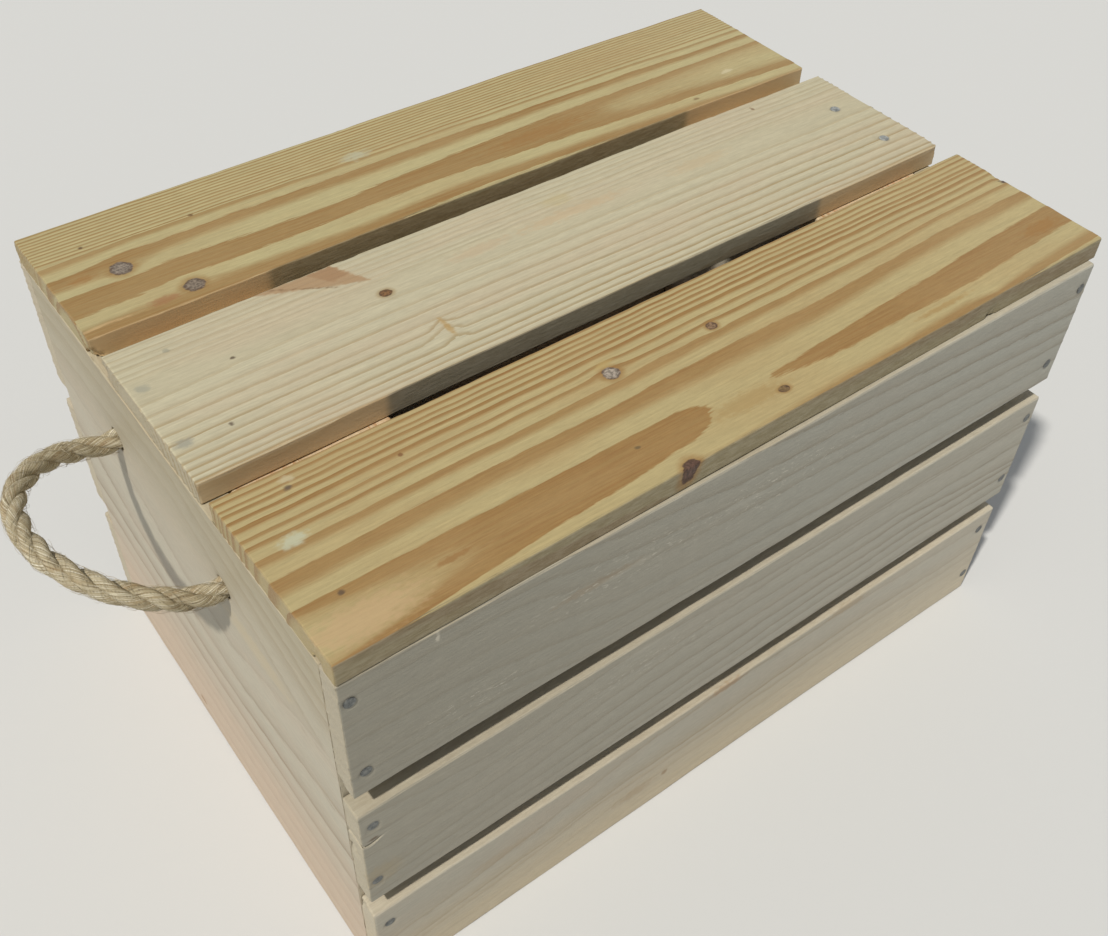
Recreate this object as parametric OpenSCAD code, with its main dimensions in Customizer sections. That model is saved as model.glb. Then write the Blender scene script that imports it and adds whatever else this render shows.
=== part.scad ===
// Slatted wooden shipping crate with a lift-off lid and two rope handles.
// Millimetres. The origin is the centre of the base: X runs along the crate, Y to the back, Z up.

/* [Crate] */
// Length over the two end panels
crate_length = 660; // [560:10:800]
// Thickness of every board
board_t = 19; // [17:1:22]

/* [Lid] */
// Width of one lid board
lid_board_w = 140; // [125:1:150]
// Gap between two lid boards
lid_gap = 20; // [10:1:30]
// Width of a batten under the lid
batten_w = 114; // [90:1:130]
// Gap round the battens, inside the box
lid_clearance = 1; // [1:0.5:3]

/* [Sides] */
// Width of one side slat
slat_w = 114; // [110:1:130]
// Gap between two side slats
slat_gap = 23; // [10:1:30]

/* [Floor] */
// Gap between two floor boards
floor_gap = 1; // [0.5:0.5:6]
// Height of the cleat that carries the floor boards
cleat_h = 19; // [17:1:30]

/* [Rope handles] */
// Diameter of the rope
rope_d = 16; // [12:1:17]
// Diameter of the rope holes
rope_hole_d = 18; // [18:0.5:20]
// Distance between the two rope holes of an end panel
rope_hole_spacing = 165; // [140:1:180]
// How far the pair of rope holes sits behind the middle of the end panel
rope_hole_shift = 7; // [-12:1:12]
// Depth of the rope holes below the top of the lid
rope_hole_drop = 90; // [80:1:110]
// How far the loop stands out of the end panel
loop_reach = 98; // [80:1:120]
// Angle of the left loop above the horizontal
loop_rise_left = 25; // [-30:1:30]
// Angle of the right loop above the horizontal
loop_rise_right = -20; // [-30:1:30]
// Diameter of the knot behind each rope hole
knot_d = 44; // [36:1:48]

/* [Nails] */
// Diameter of a nail
nail_d = 3.2; // [2.8:0.1:3.6]
// Diameter of a nail's head
nail_head_d = 8; // [6:0.5:9]
// Distance from a slat's edge to its nails
nail_edge = 22; // [18:1:28]
// How far the hand-driven slat nails wander from their line
nail_wander = 2.5; // [0:0.5:3]

/* [Hidden] */

// Which end, which side and which row a repeated piece belongs to
left = -1;
right = 1;
front = -1;
back = 1;
bottom = 0;
middle = 1;
top = 2;
rows = [bottom, middle, top];
ends = [left, right];

// Box
box_width = 3 * lid_board_w + 2 * lid_gap;
box_height = 3 * slat_w + 2 * slat_gap;
inner_length = crate_length - 2 * board_t;
inner_width = box_width - 2 * board_t;
row_pitch = slat_w + slat_gap;
floor_board_w = (inner_width - 2 * floor_gap) / 3;
floor_pitch = floor_board_w + floor_gap;
floor_play = 1;

// Lid: its boards, front to back, are cut a little long and stand out past the right end panel
lid_overhang = [6, 3, 2];
lid_pitch = lid_board_w + lid_gap;
batten_x = inner_length / 2 - lid_clearance - batten_w / 2;
batten_length = inner_width - 4 * lid_clearance;

// Rope: the loop turns about an axis just outside the end panel
rope_hole_z = box_height + board_t - rope_hole_drop;
rope_hole_y = [
    rope_hole_shift - rope_hole_spacing / 2,
    rope_hole_shift + rope_hole_spacing / 2
];
pivot_out = 14;
pivot_gap = 8.5;
loop_depth = loop_reach - pivot_out;
loop_sides = 12;
loop_rings = 25;
loop_start = asin(pivot_gap / loop_depth);
knot_l = 34;
tail_l = 22;

// Nails: a driven nail fills its hole, apart from a hair all round
nail_fit = 0.05;
nail_head_t = 1.2;
nail_point_l = 6;
slat_nail_l = 50;
board_nail_l = 35;
cleat_nail_l = 32;
batten_nail_dx = 32;
batten_nail_dy = 34;
floor_nail_dy = 45;
cleat_nail_y = [-150, -20, 20, 150];
top_nail_x = 303;
top_nail_y = [-33, 23];

// Small offset for the nth hand-driven nail
function wander(n) = nail_wander * sin(n * 137);

// One board, centred on X and Y, standing on z
module board(at, size) {
    translate([at.x - size.x / 2, at.y - size.y / 2, at.z])
        cube(size);
}

// A nail along +Z, with the top of its head at the origin
module nail(length) {
    rotate_extrude($fn = 24)
        polygon([
            [0, 0],
            [nail_head_d / 2, 0],
            [nail_head_d / 2, nail_head_t],
            [nail_d / 2, nail_head_t],
            [nail_d / 2, length - nail_point_l],
            [0, length]
        ]);
}

// The hole that the same nail makes
module nail_hole(length) {
    cylinder(d = nail_d + 2 * nail_fit, h = length + nail_fit, $fn = 24);
    translate([0, 0, -1])
        cylinder(d = nail_head_d + 2 * nail_fit, h = nail_head_t + 1, $fn = 24);
}

// Either the nail or its hole
module driven(length, hole) {
    if (hole)
        nail_hole(length);
    else
        nail(length);
}

// Through the slats of one side into the edge of one end panel
module slat_nails(side, end, hole = false) {
    for (row = rows, k = [0, 1]) {
        n = row * 2 + k + 7 * side + 13 * end;
        x = end * (crate_length / 2 - board_t / 2 + wander(n));
        z = row * row_pitch + (k == 0 ? nail_edge : slat_w - nail_edge) + wander(n + 5);
        translate([x, side * box_width / 2, z])
            rotate([90 * side, 0, 0])
                driven(slat_nail_l, hole);
    }
}

// From inside, through a floor cleat into the end panel
module cleat_nails(end, hole = false) {
    for (y = cleat_nail_y)
        translate([end * (inner_length / 2 - board_t), y, cleat_h / 2])
            rotate([0, 90 * end, 0])
                driven(cleat_nail_l, hole);
}

// From above, through the floor boards into a cleat
module floor_nails(end, hole = false) {
    for (row = rows, k = [-1, 1])
        translate([
            end * (inner_length / 2 - board_t / 2),
            (row - 1) * floor_pitch + k * floor_nail_dy,
            cleat_h + board_t
        ])
            rotate([180, 0, 0])
                driven(board_nail_l, hole);
}

// From below, through a batten into the lid boards
module batten_nails(end, hole = false) {
    for (row = rows, k = [-1, 1])
        translate([
            end * batten_x + k * batten_nail_dx,
            (row - 1) * lid_pitch + k * batten_nail_dy,
            box_height - board_t
        ])
            driven(board_nail_l, hole);
}

// From above, through the middle lid board into the right batten
module top_nails(hole = false) {
    for (y = top_nail_y)
        translate([top_nail_x, y, box_height + board_t])
            rotate([180, 0, 0])
                driven(cleat_nail_l, hole);
}

module end_panel(end) {
    x = end * (inner_length + board_t) / 2;
    color("tan")
        difference() {
            board([x, 0, 0], [board_t, inner_width, box_height]);
            for (side = [front, back])
                slat_nails(side, end, hole = true);
            for (y = rope_hole_y)
                translate([x, y, rope_hole_z])
                    rotate([0, 90, 0])
                        cylinder(d = rope_hole_d, h = 2 * board_t, center = true, $fn = 48);
            cleat_nails(end, hole = true);
        }
}

module side_slat(side, row) {
    y = side * (box_width - board_t) / 2;
    color("darkkhaki")
        difference() {
            board([0, y, row * row_pitch], [crate_length, board_t, slat_w]);
            for (end = ends)
                slat_nails(side, end, hole = true);
        }
}

module floor_cleat(end) {
    color("peru")
        difference() {
            board([end * (inner_length - board_t) / 2, 0, 0], [board_t, inner_width, cleat_h]);
            cleat_nails(end, hole = true);
            floor_nails(end, hole = true);
        }
}

module floor_board(row) {
    color("tan")
        difference() {
            board(
                [0, (row - 1) * floor_pitch, cleat_h],
                [inner_length - 2 * floor_play, floor_board_w, board_t]
            );
            for (end = ends)
                floor_nails(end, hole = true);
        }
}

module lid_board(row) {
    color(row == middle ? "wheat" : "goldenrod")
        difference() {
            board(
                [lid_overhang[row] / 2, (row - 1) * lid_pitch, box_height],
                [crate_length + lid_overhang[row], lid_board_w, board_t]
            );
            for (end = ends)
                batten_nails(end, hole = true);
            top_nails(hole = true);
        }
}

module lid_batten(end) {
    color("burlywood")
        difference() {
            board([end * batten_x, 0, box_height - board_t], [batten_w, batten_length, board_t]);
            batten_nails(end, hole = true);
            top_nails(hole = true);
        }
}

// A piece drawn for the left end, mirrored for the right one
module at_end(end) {
    mirror([end == right ? 1 : 0, 0, 0])
        children();
}

// Centre line of the left loop: half an ellipse, from one rope hole to the other
function loop_y(t) = rope_hole_shift + rope_hole_spacing / 2 * cos(t);
function loop_out(t) = loop_depth * sin(t);
function loop_point(t, rise) = [
    -crate_length / 2 - pivot_out - loop_out(t) * cos(rise),
    loop_y(t),
    rope_hole_z + loop_out(t) * sin(rise)
];

// Square to the loop's plane, and square to its centre line within the plane
function loop_normal(rise) = [sin(rise), 0, cos(rise)];
function loop_side(t, rise) =
    let (
        across = loop_depth * cos(t),
        along = rope_hole_spacing / 2 * sin(t),
        length = norm([across, along])
    )
    [-along * cos(rise), across, along * sin(rise)] / length;

function ring(t, rise) = [
    for (k = [0 : loop_sides - 1])
        let (a = 360 * k / loop_sides)
        loop_point(t, rise)
            + rope_d / 2 * (cos(a) * loop_normal(rise) + sin(a) * loop_side(t, rise))
];

module rope_loop(rise) {
    points = [
        for (i = [0 : loop_rings - 1])
            each ring(loop_start + (180 - 2 * loop_start) * i / (loop_rings - 1), rise)
    ];
    walls = [
        for (i = [0 : loop_rings - 2], k = [0 : loop_sides - 1])
            let (a = i * loop_sides + k, b = i * loop_sides + (k + 1) % loop_sides)
            [a, b, b + loop_sides, a + loop_sides]
    ];
    first = [for (k = [loop_sides - 1 : -1 : 0]) k];
    last = [for (k = [0 : loop_sides - 1]) (loop_rings - 1) * loop_sides + k];
    polyhedron(points, concat([first], walls, [last]), convexity = 4);
}

module rope_handle(end) {
    color("darkgoldenrod")
        at_end(end)
            rope_loop(end == left ? loop_rise_left : loop_rise_right);
}

// The two straight stretches of rope that stay in the holes
module rope_ends(end) {
    color("darkgoldenrod")
        at_end(end)
            for (y = rope_hole_y)
                translate([-inner_length / 2, y, rope_hole_z])
                    rotate([0, -90, 0])
                        cylinder(d = rope_d, h = board_t + pivot_out - pivot_gap, $fn = 32);
}

// Outer shape of a stopper knot and its tail, lying against the inside of the end panel
module rope_knots(end) {
    flat_r = knot_d / 2 - 6;
    color("peru")
        at_end(end)
            for (y = rope_hole_y)
                translate([-inner_length / 2, y, rope_hole_z])
                    rotate([0, 90, 0])
                        rotate_extrude($fn = 40)
                            polygon([
                                [0, 0],
                                [flat_r, 0],
                                [knot_d / 2, 8],
                                [knot_d / 2, knot_l - 10],
                                [flat_r, knot_l],
                                [rope_d / 2, knot_l],
                                [rope_d / 2, knot_l + tail_l],
                                [0, knot_l + tail_l]
                            ]);
}

end_panel(left);  // end_panel_left
end_panel(right);  // end_panel_right
side_slat(front, bottom);  // front_slat_bottom
side_slat(front, middle);  // front_slat_middle
side_slat(front, top);  // front_slat_top
side_slat(back, bottom);  // back_slat_bottom
side_slat(back, middle);  // back_slat_middle
side_slat(back, top);  // back_slat_top
floor_cleat(left);  // floor_cleat_left
floor_cleat(right);  // floor_cleat_right
floor_board(bottom);  // floor_board_front
floor_board(middle);  // floor_board_middle
floor_board(top);  // floor_board_back
lid_board(bottom);  // lid_board_front
lid_board(middle);  // lid_board_middle
lid_board(top);  // lid_board_back
lid_batten(left);  // lid_batten_left
lid_batten(right);  // lid_batten_right
color("slategray") slat_nails(front, left);  // front_slat_nails_left
color("slategray") slat_nails(front, right);  // front_slat_nails_right
color("slategray") slat_nails(back, left);  // back_slat_nails_left
color("slategray") slat_nails(back, right);  // back_slat_nails_right
color("slategray") cleat_nails(left);  // floor_cleat_nails_left
color("slategray") cleat_nails(right);  // floor_cleat_nails_right
color("slategray") floor_nails(left);  // floor_board_nails_left
color("slategray") floor_nails(right);  // floor_board_nails_right
color("slategray") batten_nails(left);  // lid_batten_nails_left
color("slategray") batten_nails(right);  // lid_batten_nails_right
color("slategray") top_nails();  // lid_top_nails
rope_handle(left);  // rope_handle_left
rope_handle(right);  // rope_handle_right
rope_ends(left);  // rope_ends_left
rope_ends(right);  // rope_ends_right
rope_knots(left);  // rope_knots_left
rope_knots(right);  // rope_knots_right
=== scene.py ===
"""Looks of the slatted pine shipping crate: its boards, nails and rope handles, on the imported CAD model."""
import math

import bpy
import numpy as np
from mathutils import Matrix, Vector


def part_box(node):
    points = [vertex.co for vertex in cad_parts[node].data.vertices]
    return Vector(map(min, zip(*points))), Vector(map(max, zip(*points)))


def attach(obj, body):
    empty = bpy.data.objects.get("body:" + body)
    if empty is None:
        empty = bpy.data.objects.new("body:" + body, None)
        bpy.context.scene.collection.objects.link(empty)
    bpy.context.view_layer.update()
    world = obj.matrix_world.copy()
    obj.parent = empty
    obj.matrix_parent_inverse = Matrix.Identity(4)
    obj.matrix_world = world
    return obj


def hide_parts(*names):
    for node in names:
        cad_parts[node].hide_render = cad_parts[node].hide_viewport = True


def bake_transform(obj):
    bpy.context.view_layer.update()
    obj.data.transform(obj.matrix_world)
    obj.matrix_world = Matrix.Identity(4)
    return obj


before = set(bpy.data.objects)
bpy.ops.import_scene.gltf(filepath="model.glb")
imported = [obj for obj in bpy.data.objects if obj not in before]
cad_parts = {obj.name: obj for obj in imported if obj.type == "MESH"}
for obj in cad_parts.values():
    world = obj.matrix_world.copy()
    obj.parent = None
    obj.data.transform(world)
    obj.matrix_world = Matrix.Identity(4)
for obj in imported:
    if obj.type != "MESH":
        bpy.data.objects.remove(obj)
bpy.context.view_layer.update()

MM = 0.001


def box_mm(node):
    """Lowest and highest corner of a CAD node, in millimetres."""
    low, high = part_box(node)
    return np.array(low) / MM, np.array(high) / MM


# ---------------------------------------------------------------- camera and light

CAMERA_PLACE = (-0.4768, -0.5917, 0.9459)
CAMERA_RIGHT = (0.79988, -0.59941, 0.02994)
CAMERA_DOWN = (-0.41258, -0.58542, -0.69789)
CAMERA_FORWARD = (0.43586, 0.54588, -0.71557)
LENS_MM = 40.52
SENSOR_MM = 36.0
NEAREST_SEEN = 0.01
TOWARD_SUN = (-0.52, -0.19, 0.83)
SUN_STRENGTH = 3.1
SUN_SIZE_DEG = 2.5
SUN_COLOUR = (1.0, 0.965, 0.90)
SKY_STRENGTH = 0.36
SKY_COLOUR = (0.90, 0.95, 1.0, 1.0)


def add_camera():
    data = bpy.data.cameras.new("camera")
    data.lens = LENS_MM
    data.sensor_width = SENSOR_MM
    data.clip_start = NEAREST_SEEN
    camera = bpy.data.objects.new("camera", data)
    turn = Matrix((CAMERA_RIGHT, -Vector(CAMERA_DOWN), -Vector(CAMERA_FORWARD))).transposed()
    camera.matrix_world = Matrix.Translation(CAMERA_PLACE) @ turn.to_4x4()
    bpy.context.scene.collection.objects.link(camera)
    bpy.context.scene.camera = camera


def add_light():
    sun = bpy.data.lights.new("sun", "SUN")
    sun.energy = SUN_STRENGTH
    sun.angle = math.radians(SUN_SIZE_DEG)
    sun.color = SUN_COLOUR
    lamp = bpy.data.objects.new("sun", sun)
    lamp.rotation_euler = Vector(TOWARD_SUN).to_track_quat("Z", "Y").to_euler()
    bpy.context.scene.collection.objects.link(lamp)
    world = bpy.data.worlds.new("sky")
    world.use_nodes = True
    background = world.node_tree.nodes["Background"]
    background.inputs["Color"].default_value = SKY_COLOUR
    background.inputs["Strength"].default_value = SKY_STRENGTH
    bpy.context.scene.world = world
    bpy.context.scene.view_settings.view_transform = "Standard"


# ---------------------------------------------------------------- node trees


class Tree:
    """A material's node tree. Most methods add a node and give its output socket."""

    def __init__(self, name):
        self.material = bpy.data.materials.new(name)
        self.material.use_nodes = True
        self.nodes = self.material.node_tree.nodes
        self.shader = self.nodes["Principled BSDF"]

    def put(self, socket, value):
        """Links a socket, or sets a constant."""
        if isinstance(value, bpy.types.NodeSocket):
            self.material.node_tree.links.new(value, socket)
        elif hasattr(value, "__len__") and len(value) == 3 and socket.type == "RGBA":
            socket.default_value = (*value, 1.0)
        else:
            socket.default_value = value

    def attribute(self, name, output):
        node = self.nodes.new("ShaderNodeAttribute")
        node.attribute_name = name
        return node.outputs[output]

    def math(self, operation, a, b=0.0, c=0.0):
        node = self.nodes.new("ShaderNodeMath")
        node.operation = operation
        for socket, value in zip(node.inputs, (a, b, c)):
            self.put(socket, value)
        return node.outputs[0]

    def vector(self, operation, a, b=(0.0, 0.0, 0.0), output="Vector"):
        node = self.nodes.new("ShaderNodeVectorMath")
        node.operation = operation
        self.put(node.inputs[0], a)
        self.put(node.inputs[1], b)
        return node.outputs[output]

    def parts(self, vector):
        node = self.nodes.new("ShaderNodeSeparateXYZ")
        self.put(node.inputs[0], vector)
        return node.outputs

    def noise(self, place, scale, detail=2.0, roughness=0.5):
        """Noise from 0 to 1 whose features are about 1 / scale millimetres, along each axis of place."""
        node = self.nodes.new("ShaderNodeTexNoise")
        self.put(node.inputs["Vector"], self.vector("MULTIPLY", place, scale))
        node.inputs["Scale"].default_value = 1.0
        node.inputs["Detail"].default_value = detail
        node.inputs["Roughness"].default_value = roughness
        return node.outputs["Fac"]

    def span(self, value, low, high, to_low=0.0, to_high=1.0, smooth=True):
        """Maps low..high to to_low..to_high, and stays inside it."""
        node = self.nodes.new("ShaderNodeMapRange")
        node.interpolation_type = "SMOOTHSTEP" if smooth else "LINEAR"
        for name, number in zip(("From Min", "From Max", "To Min", "To Max"), (low, high, to_low, to_high)):
            self.put(node.inputs[name], number)
        self.put(node.inputs["Value"], value)
        return node.outputs[0]

    def ramp(self, value, stops):
        """Colours or greys by value: stops is a list of (place, colour or number)."""
        node = self.nodes.new("ShaderNodeValToRGB")
        self.put(node.inputs[0], value)
        elements = node.color_ramp.elements
        while len(elements) < len(stops):
            elements.new(1.0)
        for element, (place, colour) in zip(elements, stops):
            element.position = place
            element.color = (colour,) * 3 + (1.0,) if isinstance(colour, float) else (*colour, 1.0)
        return node.outputs["Color"]

    def mix(self, share, a, b, blend="MIX"):
        node = self.nodes.new("ShaderNodeMix")
        node.data_type = "RGBA"
        node.blend_type = blend
        self.put(node.inputs[0], share)
        self.put(node.inputs[6], a)
        self.put(node.inputs[7], b)
        return node.outputs[2]

    def bump(self, height_mm):
        """Bump from a height in millimetres."""
        node = self.nodes.new("ShaderNodeBump")
        node.inputs["Strength"].default_value = 1.0
        node.inputs["Distance"].default_value = MM
        self.put(node.inputs["Height"], height_mm)
        self.put(self.shader.inputs["Normal"], node.outputs["Normal"])


def from_srgb(*levels):
    """A colour given as 0 to 255 screen levels, as the linear numbers that a node takes."""
    return tuple(((v / 255 + 0.055) / 1.055) ** 2.4 if v > 10 else v / 255 / 12.92 for v in levels)


# ---------------------------------------------------------------- smooth seeded noise for shapes


WAVES = 7


def wobble(seed, size, *coordinates):
    """Smooth noise, mostly from -1 to 1, with features about size millimetres long."""
    rng = np.random.default_rng(seed)
    total = 0.0
    for _ in range(WAVES):
        direction = rng.normal(size=len(coordinates))
        direction *= 2 * math.pi / (size * rng.uniform(0.8, 2.2) * np.linalg.norm(direction))
        phase = rng.uniform(0, 2 * math.pi)
        total = total + np.sin(sum(k * c for k, c in zip(direction, coordinates)) + phase)
    return total / math.sqrt(WAVES)


def soft_step(value, low, high):
    """From 0 at low to 1 at high, with soft ends."""
    t = np.clip((value - low) / (high - low), 0, 1)
    return t * t * (3 - 2 * t)


def add_mesh(name, points_mm, faces, attributes):
    """A smooth-shaded mesh object in the row frame, from points in millimetres."""
    mesh = bpy.data.meshes.new(name)
    mesh.from_pydata((np.asarray(points_mm) * MM).tolist(), [], faces)
    for label, values in attributes:
        kind = "FLOAT" if np.ndim(values) == 1 else "FLOAT_VECTOR"
        key = "value" if kind == "FLOAT" else "vector"
        layer = mesh.attributes.new(label, kind, "POINT")
        layer.data.foreach_set(key, np.asarray(values, np.float32).ravel())
    mesh.polygons.foreach_set("use_smooth", [True] * len(mesh.polygons))
    mesh.update()
    piece = bpy.data.objects.new(name, mesh)
    bpy.context.scene.collection.objects.link(piece)
    return piece


# ---------------------------------------------------------------- rope

ROPE_D = 16.0
ROPE_HOLE_D = 18.0
STRANDS = 3
STRAND_R = 4.1
# From the rope's middle to a strand's middle
STRAND_OUT = 3.95
# Length of one full turn of the strands, and of the yarns the other way round
LAY = 66.0
YARNS = 7
YARN_LAY = -34.0
STRAND_SIDES = 28
ROPE_STEP = 1.5
# How long a stretch of the rope each bend is rounded over
BEND_WINDOW = 16.0
KNOT_WINDOW = 10.0
HAIRS = 460
KNOT_HAIRS = 90
ROPE_SEED = 11
HAIR_SEED = 61
KNOT_SEED = 31
KNOT_HAIR_SEED = 40
HAIR_R = 0.13
HAIR_TIP_R = 0.05


def even_path(points, step):
    """The same line with evenly spaced points."""
    points = np.asarray(points, float)
    lengths = np.concatenate([[0], np.cumsum(np.linalg.norm(np.diff(points, axis=0), axis=1))])
    places = np.linspace(0, lengths[-1], max(2, round(lengths[-1] / step) + 1))
    return np.column_stack([np.interp(places, lengths, points[:, k]) for k in range(3)])


def eased_path(points, step, window):
    """An evenly spaced line whose corners are rounded over a window; its two ends stay where they are."""
    line = even_path(points, step)
    half = max(1, round(window / step / 2))
    line = np.vstack([2 * line[0] - line[half:0:-1], line, 2 * line[-1] - line[-2:-half - 2:-1]])
    for _ in range(2):
        kernel = np.ones(2 * (half // 2) + 1)
        kernel /= kernel.sum()
        line = np.column_stack([np.convolve(line[:, k], kernel, mode="same") for k in range(3)])
    return even_path(line[half:-half], step)


def moving_frame(path):
    """Tangents and two directions square to them that don't twist along the line."""
    tangents = np.gradient(path, axis=0)
    tangents /= np.linalg.norm(tangents, axis=1)[:, None]
    side = np.cross(tangents[0], (0.3, 0.2, 1.0))
    sides = []
    for tangent in tangents:
        side = side - tangent * np.dot(side, tangent)
        side /= np.linalg.norm(side)
        sides.append(side)
    sides = np.array(sides)
    return tangents, sides, np.cross(tangents, sides)


def tube(path, radius, sides, first):
    """Points and faces of a closed tube along path. radius is one number a ring, or one a point."""
    _, across, up = moving_frame(path)
    angles = np.arange(sides) * 2 * math.pi / sides
    radius = np.asarray(radius, float)
    radius = np.broadcast_to(radius if radius.ndim == 2 else radius[:, None], (len(path), sides))
    ring = np.cos(angles)[None, :, None] * across[:, None] + np.sin(angles)[None, :, None] * up[:, None]
    points = (path[:, None] + radius[..., None] * ring).reshape(-1, 3)
    faces = []
    for i in range(len(path) - 1):
        for k in range(sides):
            a, b = i * sides + k, i * sides + (k + 1) % sides
            faces.append((first + a, first + b, first + b + sides, first + a + sides))
    points = np.vstack([points, path[0], path[-1]])
    start, end = first + len(points) - 2, first + len(points) - 1
    last = (len(path) - 1) * sides
    for k in range(sides):
        faces.append((start, first + (k + 1) % sides, first + k))
        faces.append((end, first + last + k, first + last + (k + 1) % sides))
    return points, faces


def rope_parts(path, seed):
    """Three twisted strands of yarns along a line: points, faces and the fibre coordinates for the shader."""
    _, across, up = moving_frame(path)
    along = np.arange(len(path)) * np.linalg.norm(path[1] - path[0])
    loose = 1 + 0.05 * wobble(seed, 22, along)
    points, faces, fibre = [], [], []
    count = 0
    for strand in range(STRANDS):
        turn = 2 * math.pi * (along / LAY + strand / STRANDS) + 0.12 * wobble(seed + strand, 45, along)
        out = STRAND_OUT * loose
        centre = path + out[:, None] * (np.cos(turn)[:, None] * across + np.sin(turn)[:, None] * up)
        angles = np.arange(STRAND_SIDES) * 2 * math.pi / STRAND_SIDES
        lobe = YARNS * (angles[None, :] - 2 * math.pi * along[:, None] / YARN_LAY)
        valley = np.abs(np.sin(lobe / 2))
        rough = 0.1 * wobble(seed + 7 + strand, 6, along[:, None], angles[None, :] * STRAND_R)
        radius = STRAND_R * (0.93 + 0.09 * valley) + rough
        got, quads = tube(centre, radius, STRAND_SIDES, count)
        points.append(got)
        faces.extend(quads)
        twist = angles[None, :] * STRAND_R - 2 * math.pi * STRAND_R * along[:, None] / YARN_LAY
        skin = np.stack([
            np.broadcast_to(along[:, None], valley.shape) + 1000.0 * strand,
            twist,
            valley,
        ], axis=-1).reshape(-1, 3)
        fibre.append(np.vstack([skin, skin[0], skin[-1]]))
        count += len(got)
    return np.vstack(points), faces, np.vstack(fibre)


def hair_parts(path, amount, seed, first):
    """Loose fibres that stand off a rope."""
    rng = np.random.default_rng(seed)
    _, across, up = moving_frame(path)
    step = np.linalg.norm(path[1] - path[0])
    points, faces, fibre = [], [], []
    count = first
    for _ in range(amount):
        length = rng.uniform(7, 26)
        lean = rng.normal(0, 0.5)
        start = rng.uniform(length, step * (len(path) - 1) - length)
        heading = 1 if rng.random() < 0.5 else -1
        turn = rng.uniform(0, 2 * math.pi)
        lift = rng.uniform(0.2, 2.9) * rng.random() ** 0.6
        t = np.linspace(0, 1, 6)
        along = start + heading * length * math.cos(lean) * t
        angle = turn + length * math.sin(lean) * t / (ROPE_D / 2)
        angle += 2 * math.pi * (along - start) / LAY
        out = ROPE_D / 2 - 0.5 + lift * np.sin(t * rng.uniform(1.4, 2.9)) ** 1.3
        row = np.clip((along / step).astype(int), 0, len(path) - 1)
        line = path[row] + out[:, None] * (
            np.cos(angle)[:, None] * across[row] + np.sin(angle)[:, None] * up[row]
        )
        got, quads = tube(line, np.linspace(HAIR_R, HAIR_TIP_R, len(t)), 3, count)
        points.append(got)
        faces.extend(quads)
        fibre.append(np.tile((start, turn * 4, 1.6), (len(got), 1)))
        count += len(got)
    return np.vstack(points), faces, np.vstack(fibre)


def hairy_rope(path, seed, hair_seed, hairs):
    """A rope with its loose fibres: points, faces and fibre coordinates."""
    points, faces, fibre = rope_parts(path, seed)
    hair_points, hair_faces, hair_fibre = hair_parts(path, hairs, hair_seed, len(points))
    return np.vstack([points, hair_points]), faces + hair_faces, np.vstack([fibre, hair_fibre])


def rope_material():
    tree = Tree("manila_rope")
    fibre = tree.attribute("fibre", "Vector")
    valley = tree.parts(fibre)[2]
    coarse = tree.noise(fibre, (0.035, 0.9, 0.0), 3.0, 0.6)
    fine = tree.noise(fibre, (0.09, 3.2, 0.0), 2.0, 0.6)
    patches = tree.noise(fibre, (0.05, 0.12, 0.0), 2.0)
    shade = tree.math("MULTIPLY_ADD", fine, 0.5, tree.math("MULTIPLY", coarse, 0.6))
    colour = tree.ramp(shade, [
        (0.36, from_srgb(98, 82, 56)),
        (0.47, from_srgb(144, 128, 98)),
        (0.57, from_srgb(178, 166, 136)),
        (0.70, from_srgb(232, 226, 206)),
    ])
    warm = tree.mix(tree.span(patches, 0.5, 0.75, 0.0, 0.5), colour, from_srgb(156, 124, 78))
    # random fibres brought near white: partly the fibres' own paler tone, partly painted highlight
    pale_glinting_fibres = tree.noise(fibre, (0.11, 1.4, 0.0), 3.0, 0.7)
    warm = tree.mix(tree.span(pale_glinting_fibres, 0.56, 0.68, 0.0, 0.6), warm, from_srgb(238, 232, 216))
    # painted shade: the colour is darkened, down to half, in the grooves between the yarns
    dark = tree.span(valley, 0.0, 0.6, 0.5, 1.0)
    colour = tree.mix(1.0, warm, dark, "MULTIPLY")
    tree.put(tree.shader.inputs["Base Color"], colour)
    tree.shader.inputs["Roughness"].default_value = 0.72
    tree.shader.inputs["Specular IOR Level"].default_value = 0.35
    tree.bump(tree.math("MULTIPLY_ADD", fine, 0.35, tree.math("MULTIPLY", coarse, 0.5)))
    return tree.material


# The handle's centre line is half an ellipse, as in the CAD, and its ends are a little way out of the panel
LOOP_PIVOT_OUT = 14.0
LOOP_DEPTH = 84.0
LOOP_RISE = {-1: math.radians(25), 1: math.radians(-20)}
LOOP_POINTS = 48
ROPE_IN_HOLE = 3.0
END_LABELS = {-1: "left", 1: "right"}


class RopeHoles:
    """The two rope holes of one end panel, from the CAD, in millimetres. end is -1 for left, 1 for right."""

    def __init__(self, end):
        low, high = box_mm(f"rope_ends_{END_LABELS[end]}")
        panel_low, panel_high = box_mm(f"end_panel_{END_LABELS[end]}")
        self.end = end
        self.front = low[1] + ROPE_D / 2
        self.back = high[1] - ROPE_D / 2
        self.z = (low[2] + high[2]) / 2
        self.outside = max(abs(panel_low[0]), abs(panel_high[0]))
        self.inside = min(abs(panel_low[0]), abs(panel_high[0]))


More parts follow.
